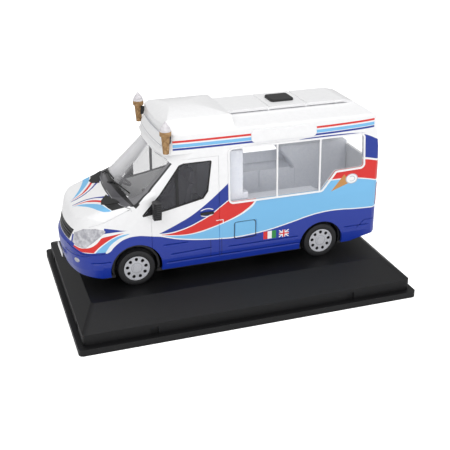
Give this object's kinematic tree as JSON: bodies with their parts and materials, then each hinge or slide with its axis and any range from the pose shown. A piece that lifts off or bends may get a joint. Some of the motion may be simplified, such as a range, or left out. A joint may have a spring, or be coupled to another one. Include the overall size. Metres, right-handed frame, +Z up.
{
  "type": "scale model ice cream van on a display plinth",
  "caption": "Small die-cast scale model of an ice cream van with a glazed serving hatch, cone ornaments and turning wheels, screwed to a black display plinth.",
  "frame": {"origin": "centre of the plinth's underside", "axes": "+Z up, the van's nose points along -Y, its kerb side with the serving hatch faces +X"},
  "size_m": [0.0976, 0.1518, 0.0859],
  "materials": {
    "white_enamel": "gloss",
    "cab_grey": "moulded",
    "black_plastic": "moulded",
    "clear_glazing": "clear",
    "lamp_clear": "facetted",
    "axle_steel": "drawn",
    "plate_white": "printed",
    "tyre": "moulded",
    "trim_silver": "silver paint",
    "ice_cream_white": "painted",
    "fitout_grey": "moulded",
    "plinth_black": "moulded",
    "screw_steel": "plated",
    "lamp_red": "clear red",
    "wafer": "painted"
  },
  "bodies": {
    "van": {"body_shell": "white_enamel", "cab_floor": "cab_grey", "chassis": "black_plastic", "cone_bracket_left": "black_plastic", "cone_bracket_right": "black_plastic", "dashboard": "cab_grey", "door_glass_left": "clear_glazing", "door_glass_right": "clear_glazing", "door_handle_left": "black_plastic", "door_handle_right": "black_plastic", "door_seal_left": "black_plastic", "door_seal_right": "black_plastic", "driver_seat": "cab_grey", "fog_lamp_left": "lamp_clear", "fog_lamp_right": "lamp_clear", "front_number_plate": "plate_white", "front_sign": "white_enamel", "grille": "black_plastic", "hatch_frame": "white_enamel", "hatch_glass": "clear_glazing", "headlamp_left": "lamp_clear", "headlamp_right": "lamp_clear", "ice_cream_left": "ice_cream_white", "ice_cream_right": "ice_cream_white", "mirror_left": "black_plastic", "mirror_right": "black_plastic", "offside_cabinets": "fitout_grey", "offside_glass": "clear_glazing", "passenger_seat": "cab_grey", "plinth": "plinth_black", "plinth_screws": "screw_steel", "rear_glass": "clear_glazing", "rear_interior": "fitout_grey", "rear_number_plate": "plate_white", "roof": "white_enamel", "roof_vent": "black_plastic", "scuttle_vent_left": "black_plastic", "scuttle_vent_right": "black_plastic", "serving_counter": "fitout_grey", "side_sign_left": "white_enamel", "side_sign_right": "white_enamel", "steering_wheel": "cab_grey", "tail_lamp_left": "lamp_red", "tail_lamp_right": "lamp_red", "wafer_cone_left": "wafer", "wafer_cone_right": "wafer", "windscreen": "clear_glazing", "wiper_left": "black_plastic", "wiper_right": "black_plastic"},
    "front_wheels": {"front_axle": "axle_steel", "front_tyre_left": "tyre", "front_tyre_right": "tyre", "front_wheel_left": "trim_silver", "front_wheel_right": "trim_silver"},
    "rear_wheels": {"rear_axle": "axle_steel", "rear_tyre_left": "tyre", "rear_tyre_right": "tyre", "rear_wheel_left": "trim_silver", "rear_wheel_right": "trim_silver"}
  },
  "joints": [
    {"name": "front_wheels_spin", "type": "hinge", "parent": "van", "child": "front_wheels", "pos_m": [0, -0.0453, 0.0219], "axis": [1, 0, 0], "continuous": true},
    {"name": "rear_wheels_spin", "type": "hinge", "parent": "van", "child": "rear_wheels", "pos_m": [0, 0.0399, 0.0219], "axis": [1, 0, 0], "continuous": true}
  ]
}
